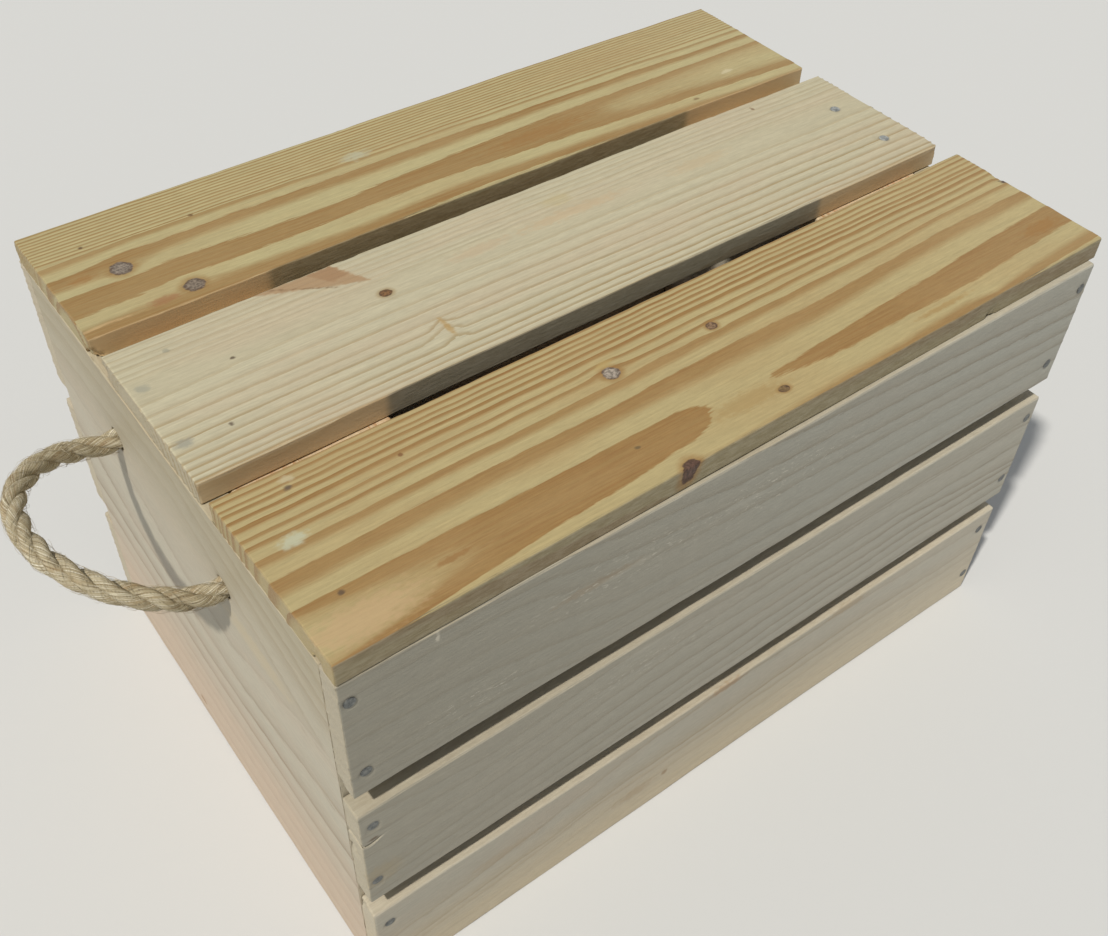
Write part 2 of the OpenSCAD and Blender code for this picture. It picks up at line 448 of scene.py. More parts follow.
def handle_path(holes):
    """From inside one rope hole, round the loop and back into the other hole."""
    middle, half = (holes.front + holes.back) / 2, (holes.back - holes.front) / 2
    loop_x = holes.outside + LOOP_PIVOT_OUT
    rise = LOOP_RISE[holes.end]
    straight = (holes.inside + ROPE_IN_HOLE, holes.outside, loop_x - 4)
    points = [(holes.end * x, holes.front, holes.z) for x in straight]
    for step in range(1, LOOP_POINTS):
        angle = math.pi * step / LOOP_POINTS
        out = LOOP_DEPTH * math.sin(angle)
        points.append((
            holes.end * (loop_x + out * math.cos(rise)),
            middle - half * math.cos(angle),
            holes.z + out * math.sin(rise),
        ))
    points += [(holes.end * x, holes.back, holes.z) for x in reversed(straight)]
    return eased_path(points, ROPE_STEP, BEND_WINDOW)


# A stopper knot, as (in from the panel, across, up), in millimetres from the middle of its hole
KNOT_ROUTE = [
    (-4, 0, 0), (3, 0, 0), (10, -4, -3), (19, -10, -8), (26, -7, 8), (25, 6, 13), (19, 14, 3),
    (14, 9, -11), (12, -5, -14), (12, -15, -3), (14, -9, 11), (17, 5, 13), (19, 9, 1), (25, 5, -5),
    (34, 2, -4), (46, 3, -7), (57, 1, -12),
]
KNOT_POINTS = 160


def knot_path(holes, y, seed):
    """A knot's line behind the rope hole at y, turned by its seed so that no two knots look alike."""
    points = np.array(KNOT_ROUTE, float)
    fine = np.linspace(0, len(points) - 1, KNOT_POINTS)
    rows = np.arange(len(points))
    line = np.column_stack([np.interp(fine, rows, points[:, k]) for k in range(3)])
    turn = 0.7 * seed
    across = line[:, 1] * math.cos(turn) - line[:, 2] * math.sin(turn)
    up = line[:, 1] * math.sin(turn) + line[:, 2] * math.cos(turn)
    place = np.column_stack([
        holes.end * (holes.inside - line[:, 0]),
        y + across,
        holes.z + up,
    ])
    return eased_path(place, ROPE_STEP, KNOT_WINDOW)


def make_ropes():
    """Each end's rope: the two stopper knots inside the crate, and the handle that swings outside it."""
    material = rope_material()
    for end, label in END_LABELS.items():
        holes = RopeHoles(end)
        knots = []
        for side, y in ((-1, holes.front), (1, holes.back)):
            path = knot_path(holes, y, side + 2 * end)
            own = side + 3 * end
            knots.append(hairy_rope(path, KNOT_SEED + own, KNOT_HAIR_SEED + own, KNOT_HAIRS))
        (points, faces, fibre), (more, more_faces, more_fibre) = knots
        faces = faces + [tuple(k + len(points) for k in face) for face in more_faces]
        fibre = [("fibre", np.vstack([fibre, more_fibre]))]
        knot = add_mesh(f"knots_{label}", np.vstack([points, more]), faces, fibre)
        knot.data.materials.append(material)
        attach(knot, "box")
        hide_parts(f"rope_knots_{label}")

        path = handle_path(holes)
        points, faces, fibre = hairy_rope(path, ROPE_SEED + end, HAIR_SEED + end, HAIRS)
        handle = add_mesh(f"rope_{label}", points, faces, [("fibre", fibre)])
        handle.data.materials.append(material)
        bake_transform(handle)
        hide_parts(f"rope_handle_{label}", f"rope_ends_{label}")


add_camera()
add_light()
make_ropes()


# ---------------------------------------------------------------- boards


class Board:
    """A sawn board on a CAD node. In millimetres: u along its grain, v across it, w down from its face."""

    def __init__(self, node, along, across, down):
        low, high = box_mm(node)
        self.node = node
        self.axes = np.array([along, across, down], float)
        size = self.axes @ (high - low)
        self.origin = np.where(self.axes.sum(axis=0) > 0, low, high)
        self.size = np.abs(size)

    def place(self, local):
        return self.origin + local @ self.axes


# A lattice line nearer than this to the one before it is left out
CLOSEST_LINES = 0.22


def lines(length, edge, step, extra=()):
    """The places of the lattice's lines along one side: close together at both edges, and at each extra."""
    near = [0, 0.42 * edge, 0.73 * edge, edge, 1.35 * edge, 2.6 * edge]
    middle = np.linspace(near[-1], length - near[-1], max(2, round((length - 2 * near[-1]) / step) + 1))
    places = [*near, *middle, *(length - n for n in near), *(x for x in extra if 0 < x < length)]
    kept = []
    for place in sorted(places):
        if not kept or place - kept[-1] > CLOSEST_LINES:
            kept.append(place)
    kept[-1] = length
    return np.array(kept)


def lattice(us, vs, ws):
    """Skin of a lattice of lines: points, quads as an array, and a table from lattice place to point."""
    shape = (len(us), len(vs), len(ws))
    outside = np.zeros(shape, bool)
    outside[[0, -1]] = True
    outside[:, [0, -1]] = True
    outside[:, :, [0, -1]] = True
    table = -np.ones(shape, int)
    table[outside] = np.arange(outside.sum())
    where = np.argwhere(outside)
    points = np.column_stack([us[where[:, 0]], vs[where[:, 1]], ws[where[:, 2]]])

    def quads(sheet):
        return np.stack([sheet[:-1, :-1], sheet[1:, :-1], sheet[1:, 1:], sheet[:-1, 1:]], axis=-1)

    sheets = [
        quads(table[0]), quads(table[-1])[..., ::-1],
        quads(table[:, 0])[..., ::-1], quads(table[:, -1]),
        quads(table[:, :, 0]), quads(table[:, :, -1])[..., ::-1],
    ]
    return points, sheets, table


# A hole's patch of lattice is this many radii from its middle to each side
HOLE_REACH = 1.9


def bored(points, sheets, table, us, vs, hole):
    """Opens a round hole through the two faces of a lattice, and lines it with a wall."""
    u0, v0, radius = hole
    reach = radius * HOLE_REACH
    i0, i1 = np.argmin(abs(us - (u0 - reach))), np.argmin(abs(us - (u0 + reach)))
    j0, j1 = np.argmin(abs(vs - (v0 - reach))), np.argmin(abs(vs - (v0 + reach)))
    border = (
        [(i, j0) for i in range(i0, i1)] + [(i1, j) for j in range(j0, j1)]
        + [(i, j1) for i in range(i1, i0, -1)] + [(i0, j) for j in range(j1, j0, -1)]
    )
    extra, faces = [], []
    count = len(points)
    rims = []
    for side, k in ((0, 0), (1, table.shape[2] - 1)):
        sheets[4 + side][i0:i1, j0:j1] = -1
        ring = np.array([table[i, j, k] for i, j in border])
        outline = points[ring]
        heading = outline[:, :2] - (u0, v0)
        # the points of the square move round evenly as they come in to the circle
        angle = np.arctan2(heading[:, 1], heading[:, 0])
        circle = np.column_stack([u0 + radius * np.cos(angle), v0 + radius * np.sin(angle), outline[:, 2]])
        inward = -1 if side else 1
        loops = [outline + (circle - outline) * share for share in (0.5, 0.8, 0.94)]
        loops += [circle + (0, 0, 0.25 * inward), circle + (0, 0, 1.2 * inward)]
        previous = ring
        for loop in loops:
            fresh = count + np.arange(len(loop))
            extra.append(loop)
            count += len(loop)
            for a in range(len(ring)):
                b = (a + 1) % len(ring)
                quad = (previous[a], previous[b], fresh[b], fresh[a])
                faces.append(quad if side == 0 else quad[::-1])
            previous = fresh
        rims.append(previous)
    for a in range(len(rims[0])):
        b = (a + 1) % len(rims[0])
        faces.append((rims[0][a], rims[0][b], rims[1][b], rims[1][a]))
    return np.vstack([points, *extra]), faces


def knot_push(u, v, knots):
    """How far the grain at (u, v) is pushed across the board by the knots near it."""
    push = 0.0
    for knot_u, knot_v, radius, *_ in knots:
        du, dv = (u - knot_u) / (2.4 * radius), (v - knot_v) / (2.2 * radius)
        push = push + 0.55 * radius * np.tanh((v - knot_v) / (0.5 * radius)) * np.exp(-du * du - dv * dv)
    return push


RINGS = 34
# Late wood's share of a ring beyond the last given one
LATE_SHARE = 0.35


def ring_edges(bands, u, pith, sign, pitch):
    """Edges of each ring's dark late wood on the face, as signed squares of their distance from the pith.

    A band is (inner edge, outer edge), each as points (u, v); the inner edge may be a width instead. An edge
    on the wrong side of the pith is still under the face there. More rings follow the last one, pitch apart.
    """
    edges = []
    for inner, outer in bands:
        outer = sign * (np.interp(u, *zip(*outer)) - pith)
        by_width = isinstance(inner, (int, float))
        inner = outer - inner if by_width else sign * (np.interp(u, *zip(*inner)) - pith)
        edges += [inner, outer]
    while len(edges) < 2 * RINGS:
        edges.append(edges[-1] + pitch * (1 - LATE_SHARE if len(edges) % 2 == 0 else LATE_SHARE))
    edges = np.array(edges)
    return np.maximum.accumulate(edges * np.abs(edges) + 0.01 * np.arange(len(edges))[:, None], axis=0)


def ring_number(local, wood):
    """The growth ring each point of a board is in. Late wood is the second half of each whole number."""
    u, v, w = local.T
    seed, warp = wood["seed"], wood.get("warp", 0.5)
    v = v - knot_push(u, v, wood.get("knots", ()))
    v = v + warp * (wobble(seed, 70, u, v) + 0.5 * wobble(seed + 1, 24, u, v, w))
    pith = np.interp(u, *zip(*wood["pith"]))
    pitch = wood.get("pitch", 8.0)
    above = ring_edges(wood["above"], u, pith, 1, pitch)
    below = ring_edges(wood.get("below", wood["above"]), u, pith, -1, pitch)
    share = soft_step(v - pith, -3, 3)
    edges = (1 - share) * below + share * above
    depth = wood.get("pith_depth", 26.0)
    square = (v - pith) ** 2 + w * w - 2 * w * depth
    inner = np.vstack([np.minimum(-depth * depth, edges[0]) - 1.0, edges[:-1]])
    return 0.5 * np.clip((square - inner) / np.maximum(edges - inner, 0.01), 0, 1).sum(axis=0)


def late_amount(ring):
    """How far a point is into late wood, 0 to 1, from its ring number."""
    part = ring % 1.0
    return soft_step(part, 0.42, 0.62) * (1 - soft_step(part, 0.94, 1.0))


# Extra lattice lines round a nail's middle and beside a crack
NAIL_LINES = (-7, -5.4, -4.2, -2, 0, 2, 4.2, 5.4, 7)
CRACK_LINES = (-3.4, -2.2, -1.4, -0.7, -0.3, 0, 0.3, 0.7, 1.4, 2.2, 3.4)
DEPTH_STEP = 2.4
NAIL_DENT = 0.35


def board_lines(size, edge, step, fine, nails, holes, cracks, chips):
    """The lattice's lines along, across and through a board, closer together round what is cut into it."""
    length, width, depth = size
    extra_u, extra_v = [], []
    for nail_u, nail_v in nails:
        extra_u += [nail_u + d for d in NAIL_LINES]
        extra_v += [nail_v + d for d in NAIL_LINES]
    for u0, v0, radius in holes:
        extra_u += list(u0 + radius * HOLE_REACH * np.linspace(-1, 1, 9))
        extra_v += list(v0 + radius * HOLE_REACH * np.linspace(-1, 1, 9))
    for side, crack_length, crack_v, _ in cracks:
        crack_end = 0 if side < 0 else length
        extra_u += [abs(crack_end - crack_length * share) for share in np.linspace(0.08, 1.0, 9)]
        extra_v += [crack_v + d for d in CRACK_LINES]
    for chip_u, chip_v, _, radius, _ in chips:
        extra_u += list(chip_u + radius * np.linspace(-1, 1, 13))
        extra_v += list(chip_v + radius * np.linspace(-1, 1, 13))
    us = lines(length, edge, step, extra_u)
    vs = lines(width, edge, fine, extra_v)
    return us, vs, lines(depth, edge, DEPTH_STEP)


def skin(us, vs, ws, holes):
    """Points and faces of the lattice's skin, with its holes."""
    points, sheets, table = lattice(us, vs, ws)
    faces = []
    for hole in holes:
        points, more = bored(points, sheets, table, us, vs, hole)
        faces += more
    for sheet in sheets:
        flat = sheet.reshape(-1, 4)
        faces += flat[flat[:, 0] >= 0].tolist()
    return points, faces


def open_crack(local, points, size, crack):
    """A crack runs in from one end, (side, length, v, depth): a groove with a raised lip beside it."""
    side, crack_length, crack_v, crack_depth = crack
    u, v, w = points.T
    gone = u if side < 0 else size[0] - u
    line = crack_v + 1.3 * np.sin(gone / crack_length * 5)
    open_share = 1 - soft_step(gone, 0.35 * crack_length, crack_length)
    open_share = open_share * np.clip(1 - w / (0.7 * size[2]), 0, 1)
    groove = np.exp(-(((v - line) / 0.8) ** 2))
    lip = np.exp(-(((v - line - 2.1) / 0.9) ** 2))
    local[:, 2] += open_share * (crack_depth * groove - 0.5 * lip)
    notch = crack_depth * 0.8 * np.exp(-(((v - line) / 1.3) ** 2))
    local[:, 0] += np.where(gone < 0.5, -side * notch, 0)


def cut_chip(local, points, size, seed, chip):
    """A chip is out of an edge or a corner, (u, v, w, radius, depth)."""
    *place, radius, amount = chip
    distance = np.linalg.norm(points - place, axis=1)
    distance = distance * (1 + 0.25 * wobble(seed, 5, *points.T))
    toward = size / 2 - points
    toward[:, 0] = np.clip(toward[:, 0], -8, 8)
    toward[:, 1] = np.clip(toward[:, 1], -12, 12)
    toward /= np.maximum(np.linalg.norm(toward, axis=1), 1e-6)[:, None]
    local += (amount * (1 - soft_step(distance, 0.3 * radius, radius)))[:, None] * toward


def sawn(
    board, wood, nails, step, fine=1.5, edge=1.2, holes=(), cracks=(), chips=(),
    drift=((0, 0, 0),), relief=0.1,
):
    """The board's mesh: rounded arrises, a slight bow, raised grain, worn ends, cracks, chips and nail dents.

    step and fine are the lattice's spacing along and across the board. drift is how far the two long edges
    are out of true: points (u, shift of the edge at v = 0, shift of the other edge).
    """
    length, width, _ = board.size
    seed = wood["seed"]
    points, faces = skin(*board_lines(board.size, edge, step, fine, nails, holes, cracks, chips), holes)
    u, v, w = points.T
    local = points.copy()
    # rounded arrises
    inner = np.clip(points, edge, board.size - edge)
    out = points - inner
    reach = np.linalg.norm(out, axis=1)
    corner = (np.abs(out) > 1e-6).sum(axis=1) > 1
    local[corner] = inner[corner] + out[corner] * (edge / reach[corner])[:, None]
    # edges out of true; the wood's figure follows them
    at, first, second = zip(*drift)
    shift = np.interp(u, at, first) * (1 - v / width) + np.interp(u, at, second) * v / width
    local[:, 1] += shift
    grain = points.copy()
    grain[:, 1] += shift
    ring = ring_number(grain, wood)
    # worn arrises, and saw-torn ends where the hard late wood stands out
    worn = np.clip(0.6 * wobble(seed + 10, 24, u, v, w) + 0.5 * wobble(seed + 11, 7, u, v, w) - 0.25, 0, 1)
    inward = -out / np.maximum(reach, 1e-6)[:, None]
    late = late_amount(ring)
    local[corner] += ((0.6 * worn + 0.35 * (1 - late))[:, None] * inward)[corner]
    near_end = np.minimum(u, length - u) < 0.3
    toward_middle = np.where(u < length / 2, 1, -1)
    torn = 0.18 * np.abs(wobble(seed + 12, 6, v, w)) + (0.15 + 1.6 * relief) * (1 - late)
    local[near_end, 0] += (toward_middle * torn)[near_end]
    # bow, cup and uneven sawing
    bow = 0.5 * wobble(seed + 13, 420, u) + 0.25 * ((2 * v / width - 1) ** 2 - 0.4)
    local[:, 2] += 0.45 * bow + 0.07 * wobble(seed + 14, 30, u, v)
    local[:, 1] += 0.3 * wobble(seed + 15, 300, u) + 0.12 * wobble(seed + 16, 45, u, w)
    # the late wood stands a little proud on the face, and the nail heads sit in dents
    face = w < 0.5
    local[:, 2] += np.where(face, relief * (1 - late), 0)
    for nail_u, nail_v in nails:
        distance = np.hypot(u - nail_u, v - nail_v)
        local[:, 2] += np.where(face, NAIL_DENT * (1 - soft_step(distance, 4.2, 7.0)), 0)
    for crack in cracks:
        open_crack(local, points, board.size, crack)
    for chip in chips:
        cut_chip(local, points, board.size, seed + 17, chip)

    if np.linalg.det(board.axes) > 0:
        faces = [face[::-1] for face in faces]
    return add_mesh(
        board.node + "_wood",
        board.place(local),
        [tuple(int(k) for k in face) for face in faces],
        [("grain", grain), ("ring", ring)],
    )


# ---------------------------------------------------------------- wood


# In millimetres, how far apart two boards whose seeds follow each other are in the noises
SEED_SHIFT = 137.0
# How far a knot leans along the board, and how fast it closes, for each millimetre of depth
KNOT_LEAN = 0.25
KNOT_TAPER = 0.072
# Screen levels
KNOT_RIM = (84, 64, 50)
# tone of the painted highlights where grazing light catches raised fibres
PAINTED_GLINT_TONE = (206, 200, 184)
NAIL_STAIN = (112, 106, 96)
# the pale warm tone of painted bounce light on lid board edges
PAINTED_BOUNCE_TONE = (216, 184, 138)
END_TONE = (196, 184, 158)
PALE_EDGE = ((196, 178, 146), (212, 198, 168))


class Pine(Tree):
    """Sawn pine: growth rings from the board's own ring count, fibres, end grain, knots and marks."""

    def __init__(self, name, board, wood):
        super().__init__(name)
        self.wood = wood
        self.place = self.attribute("grain", "Vector")
        self.along, self.across, self.depth = self.parts(self.place)
        self.shift = self.vector("ADD", self.place, (wood["seed"] * SEED_SHIFT, 0.0, 0.0))
        self.streak = self.noise(self.shift, (0.012, 0.55, 0.55), 3.0, 0.55)
        self.mottle = self.noise(self.shift, (0.09, 0.5, 0.5), 3.0, 0.7)
        self.fine = self.noise(self.shift, (0.05, 2.6, 2.6), 3.0, 0.6)
        self.bite = self.noise(self.shift, (0.18, 0.3, 0.3), 2.0)
        late, deep = from_srgb(*wood["late"]), from_srgb(*wood["deep"])
        self.late = self.mix(self.span(self.streak, 0.35, 0.7), late, deep)
        amount = self.late_wood()
        self.figure(amount)
        saw = self.noise(self.shift, (0.0, 0.25, 1.6), 3.0, 0.65)
        end = self.sawn_sides(board, saw)
        self.height = self.math("MULTIPLY_ADD", amount, 0.06, self.math("MULTIPLY", self.fine, 0.12))
        self.height = self.math("MULTIPLY_ADD", self.streak, 0.10, self.height)
        self.height = self.math("MULTIPLY_ADD", self.mottle, wood.get("fuzz", 0.12), self.height)
        self.knots()
        self.stains()
        self.flecks()
        self.put(self.shader.inputs["Base Color"], self.colour)
        self.put(self.shader.inputs["Roughness"], self.span(self.streak, 0.3, 0.7, 0.52, 0.70))
        self.shader.inputs["Specular IOR Level"].default_value = 0.28
        self.bump(self.math("MULTIPLY_ADD", self.math("MULTIPLY", end, saw), 0.35, self.height))

    def tone(self, share, levels):
        """Brings the colour towards a tone, given as screen levels."""
        self.colour = self.mix(share, self.colour, from_srgb(*levels))

    def spot(self, middle, scale, ragged, place=None):
        """Distance of each point from a spot's middle (u, v), in the scale's units, with a ragged outline."""
        place = self.place if place is None else place
        offset = self.vector("SUBTRACT", place, (*middle, 0.0))
        distance = self.vector("LENGTH", self.vector("MULTIPLY", offset, scale), output="Value")
        return self.math("MULTIPLY_ADD", self.math("SUBTRACT", self.bite, 0.5), ragged, distance)

    def late_wood(self):
        """How much late wood there is at each point; each ring has a strength of its own."""
        ragged = self.noise(self.shift, (0.05, 0.6, 0.6), 3.0, 0.65)
        phase = self.math("SUBTRACT", ragged, 0.5)
        phase = self.math("MULTIPLY_ADD", phase, self.wood.get("ragged", 0.16), self.attribute("ring", "Fac"))
        random = self.nodes.new("ShaderNodeTexWhiteNoise")
        random.noise_dimensions = "1D"
        self.put(random.inputs["W"], self.math("ADD", self.math("FLOOR", phase), self.wood["seed"] * 3.1))
        soft = self.wood["late_soft"]
        dark = self.ramp(self.math("FRACT", phase), [
            (0.0, 0.0),
            (max(0.01, 0.5 - soft), 0.0),
            (0.5 + soft, 0.9),
            (0.96, 1.0),
            (0.995, 0.0),
        ])
        strength = self.span(random.outputs["Value"], 0, 1, self.wood["late_least"], 1.0, smooth=False)
        if "fade" in self.wood:
            strength = self.math("MULTIPLY", strength, self.span(self.across, *self.wood["fade"]))
        return self.math("MULTIPLY", dark, strength)

    def figure(self, amount):
        """The colour of the face: rings, slow changes of hue, fibres and resin canals."""
        self.colour = self.mix(amount, from_srgb(*self.wood["early"]), self.late)
        hue = self.noise(self.shift, (0.007, 0.03, 0.03), 2.0)
        self.tone(self.span(hue, 0.4, 0.72, 0.0, 0.35), self.wood["tint"])
        # blushes bring the colour towards a tone along or across the board; on the bottom front slat and the
        # end panels' lower part they are painted bounce light
        for axis, low, high, tone, most in self.wood.get("blushes", ()):
            self.tone(self.span((self.along, self.across)[axis], low, high, 0.0, most), tone)
        shade = self.span(self.streak, 0.25, 0.75, 0.93, 1.05)
        shade = self.math("MULTIPLY", shade, self.span(self.fine, 0.25, 0.75, 0.92, 1.05))
        shade = self.math("MULTIPLY", shade, self.span(self.mottle, 0.25, 0.75, 0.94, 1.05))
        self.colour = self.mix(1.0, self.colour, shade, "MULTIPLY")
        canal = self.noise(self.shift, (0.11, 1.9, 1.9), 1.0)
        self.tone(self.span(canal, 0.68, 0.76, 0.0, 0.22), self.wood["deep"])

    def sawn_sides(self, board, saw):
        """End grain is duller and greyer, and the sawn edges are weathered. Gives where the end grain is."""
        wood = self.wood
        normal = self.nodes.new("ShaderNodeTexCoord").outputs["Normal"]
        facing = self.vector("DOT_PRODUCT", normal, tuple(board.axes[0]), output="Value")
        end = self.span(self.math("ABSOLUTE", facing), 0.55, 0.8)
        end_tone = from_srgb(*wood.get("end_tone", END_TONE))
        end_colour = self.mix(wood.get("end_share", 0.5), self.colour, end_tone)
        end_colour = self.mix(1.0, end_colour, self.span(saw, 0.2, 0.8, 0.84, 1.08), "MULTIPLY")
        self.colour = self.mix(end, self.colour, end_colour)
        sideways = self.vector("DOT_PRODUCT", normal, tuple(board.axes[1]), output="Value")
        side = self.span(self.math("ABSOLUTE", sideways), 0.45, 0.85)
        tones = (from_srgb(*tone) for tone in wood.get("edge_tones", PALE_EDGE))
        worn = self.mix(self.span(self.mottle, 0.3, 0.7), *tones)
        # painted bounce light: over these stretches the long edges are brought towards a pale warm tone
        for low, high in wood.get("painted_bounce_edge", ()):
            starts = self.span(self.along, low - 4, low + 4)
            share = self.math("MULTIPLY", starts, self.span(self.along, high - 4, high + 4, 0.75, 0.0))
            worn = self.mix(share, worn, from_srgb(*PAINTED_BOUNCE_TONE))
        side_colour = self.mix(wood.get("edge_share", 0.3), self.colour, worn)
        self.colour = self.mix(side, self.colour, side_colour)
        return end

    def knots(self):
        """Knots go down through the board at a lean, each with a dark rim and a halo of late wood."""
        lean = self.nodes.new("ShaderNodeCombineXYZ")
        self.put(lean.inputs[0], self.math("MULTIPLY", self.depth, KNOT_LEAN))
        leant = self.vector("ADD", self.place, lean.outputs[0])
        cloud = self.noise(self.shift, (0.5, 0.5, 0.3), 3.0, 0.7)
        for knot_u, knot_v, radius, stretch, heart in self.wood.get("knots", ()):
            scale = (1 / (radius * stretch), 1 / radius, KNOT_TAPER)
            distance = self.spot((knot_u, knot_v), scale, 0.45, leant)
            self.colour = self.mix(self.span(distance, 0.95, 1.9, 0.7, 0.0), self.colour, self.late)
            tones = (from_srgb(*heart), from_srgb(*(0.66 * h for h in heart)))
            inside = self.mix(self.span(cloud, 0.35, 0.65), *tones)
            self.colour = self.mix(self.span(distance, 0.9, 1.08, 0.95, 0.0), self.colour, inside)
            rim = self.span(distance, 0.95, 1.12, 1.0, 0.0)
            rim = self.math("MULTIPLY", self.span(distance, 0.62, 0.88), rim)
            rim = self.math("MULTIPLY", rim, self.span(self.mottle, 0.38, 0.6, 0.15, 0.85))
            self.tone(rim, KNOT_RIM)
            self.height = self.math("SUBTRACT", self.height, self.math("MULTIPLY", rim, 0.3))

    def stains(self):
        """Stains with straight sides, and round or long marks."""
        for corners, tone, most in self.wood.get("patches", ()):
            self.tone(self.patch_share(corners, most), tone)
        for mark_u, mark_v, radius_u, radius_v, tone, most in self.wood.get("marks", ()):
            distance = self.spot((mark_u, mark_v), (1 / radius_u, 1 / radius_v, 0.2), 1.3)
            self.tone(self.span(distance, 0.35, 1.1, most, 0.0), tone)

    def patch_share(self, corners, most):
        """How strongly a straight-sided stain covers a point: most inside its corners, none outside."""
        middle = np.mean(corners, axis=0)
        farthest = None
        for first, second in zip(corners, corners[1:] + corners[:1]):
            along = np.subtract(second, first)
            normal = np.array([along[1], -along[0]]) / np.hypot(*along)
            normal *= np.sign(np.dot(first - middle, normal))
            reach = self.vector("DOT_PRODUCT", self.place, (*normal, 0.0), output="Value")
            reach = self.math("SUBTRACT", reach, float(np.dot(first, normal)))
            farthest = reach if farthest is None else self.math("MAXIMUM", farthest, reach)
        ragged = self.math("MULTIPLY_ADD", self.math("SUBTRACT", self.bite, 0.5), 5.0, farthest)
        return self.span(ragged, -2.0, 1.0, most, 0.0)

    def flecks(self):
        """Painted highlights on raised fibres in short pale streaks, and grey wood round each nail."""
        fibres = self.noise(self.shift, (0.13, 0.42, 0.42), 3.0, 0.7)
        for glint_u, glint_v, radius_u, radius_v in self.wood.get("flecks", ()):
            distance = self.spot((glint_u, glint_v), (1 / radius_u, 1 / radius_v, 0.2), 0.0)
            near = self.span(distance, 0.2, 1.1, 1.0, 0.0)
            fleck = self.math("MULTIPLY", near, self.span(fibres, 0.57, 0.65, 0.0, 0.55))
            self.tone(fleck, PAINTED_GLINT_TONE)
            self.height = self.math("MULTIPLY_ADD", fleck, 0.25, self.height)
        for nail in self.wood.get("nails", ()):
            self.tone(self.span(self.spot(nail, (1.0, 1.0, 0.3), 2.4), 3.8, 6.0, 0.4, 0.0), NAIL_STAIN)


X, Y, Z = (1, 0, 0), (0, 1, 0), (0, 0, 1)
DOWN = (0, 0, -1)

# The figures: u and v are measured along and across each board, v from its front or top edge, in millimetres
LID_WOOD = dict(
    end_share=0.32, end_tone=(158, 144, 118), edge_share=0.72, fuzz=0.2,
    late_soft=0.13, late_least=0.8, warp=0.35,
)
SIDE_COLOURS = dict(
    early=(178, 170, 152), late=(166, 156, 136), deep=(154, 142, 120), tint=(186, 172, 152), fuzz=0.3,
)
WARM_COLOURS = dict(
    early=(206, 184, 150), late=(188, 150, 108), deep=(170, 128, 86), tint=(208, 170, 134),
)
# darker and redder than the battens: painted shade for the inside of the crate
INSIDE_SHADE_FLOOR_COLOURS = dict(
    early=(178, 148, 116), late=(160, 122, 86), deep=(142, 104, 68), tint=(180, 138, 106),
)


def bands(*rows):
    """Rings of late wood given by their sharp outer edges: (width, v at u = 0, v at 330, v at 660)."""
    return [(width, [(0, first), (330, middle), (660, last)]) for width, first, middle, last in rows]


LID_FRONT = dict(
    LID_WOOD, early=(176, 160, 116), late=(152, 118, 70), deep=(136, 98, 54), tint=(166, 138, 94),
    edge_tones=((120, 110, 86), (146, 138, 118)), seed=3, pith_depth=25.0, pitch=4.6,
    pith=[(0, 20), (80, 23), (150, 26.5), (240, 30), (298, 35), (345, 32.5), (400, 33), (520, 37), (590, 41),
          (660, 43)],
    above=[
        ([(0, 38), (60, 31), (86, 25), (93, 19), (110, 13), (300, 21), (400, 19), (520, 23), (660, 29)],
         [(0, 44.5), (80, 44), (240, 44.5), (275, 44.5), (289, 42), (299, 32), (345, 27), (351, 37),
          (400, 41), (450, 44.5), (520, 48), (590, 54), (660, 58)]),
        ([(0, 56.5), (150, 58.5), (300, 59), (350, 58.5), (400, 59), (450, 61.5), (520, 67), (590, 70),
          (660, 71)],
         [(0, 70), (150, 72), (250, 71.5), (300, 74.5), (450, 75), (520, 78.5), (590, 81.5), (660, 82)]),
        ([(0, 81), (220, 81), (300, 82.5), (450, 86.5), (520, 88), (590, 91.5), (660, 92.5)],
         [(0, 87), (220, 88), (290, 91), (450, 92.5), (520, 92.5), (590, 95.5), (660, 96)]),
        *bands((3.4, 98.5, 100.5, 106), (3, 105, 109, 113), (4, 114.5, 118.5, 119.5), (2.8, 121, 124, 125),
               (3, 127.5, 129.5, 129), (2, 131.5, 134, 134), (2.4, 138, 138.5, 140)),
    ],
    below=[
        ([(0, 2), (55, 8), (86, 19), (93, 26), (110, 34), (300, 49), (400, 47), (520, 51), (660, 57)],
         [(0, -2), (50, 0), (80, 3.5), (150, 10), (240, 14.5), (268, 17), (284, 22), (299, 38), (345, 38),
          (351, 29), (400, 25), (520, 25), (590, 28), (660, 32)]),
        ([(0, -14), (150, -4), (298, 2), (380, 7), (450, 8.5), (515, 12.5), (545, 9), (590, 13.5), (660, 17)],
         [(0, -28), (298, -8), (400, -1), (520, 4), (590, 5.5), (660, 8)]),
        *bands((5, -38, -18, -6), (5, -50, -30, -18)),
    ],
    knots=[(264, 97, 5.8, 1.1, (174, 162, 148)), (351, 96, 3.6, 1.2, (146, 118, 92)),
           (347, 21, 2.8, 1.6, (120, 96, 70)), (252, 0.5, 7.2, 1.0, (104, 78, 68))],
    marks=[(26, 89, 11, 6, (180, 180, 154), 0.85), (43, 127, 3.4, 2.6, (92, 80, 68), 0.85),
           (29, 41, 3.2, 2.2, (96, 78, 60), 0.9), (234, 34, 3, 1.8, (104, 88, 62), 0.85),
           (112, 112, 2.2, 2.2, (120, 84, 52), 0.85), (638, 41, 26, 8, (150, 112, 66), 0.7),
           (500, 19, 34, 3, (158, 126, 76), 0.6), (46, 134, 6, 4, (188, 176, 144), 0.6),
           (92, 26, 16, 3, (140, 98, 52), 0.6), (30, 18, 46, 15, (186, 156, 118), 0.6),
           (320, 26, 40, 9, (158, 130, 82), 0.5), (265, 107, 9, 4, (176, 152, 98), 0.6),
           (665, 99, 5, 4, (74, 56, 58), 0.9)],
    blushes=[(0, 400, 660, (206, 194, 160), 0.08)],
)
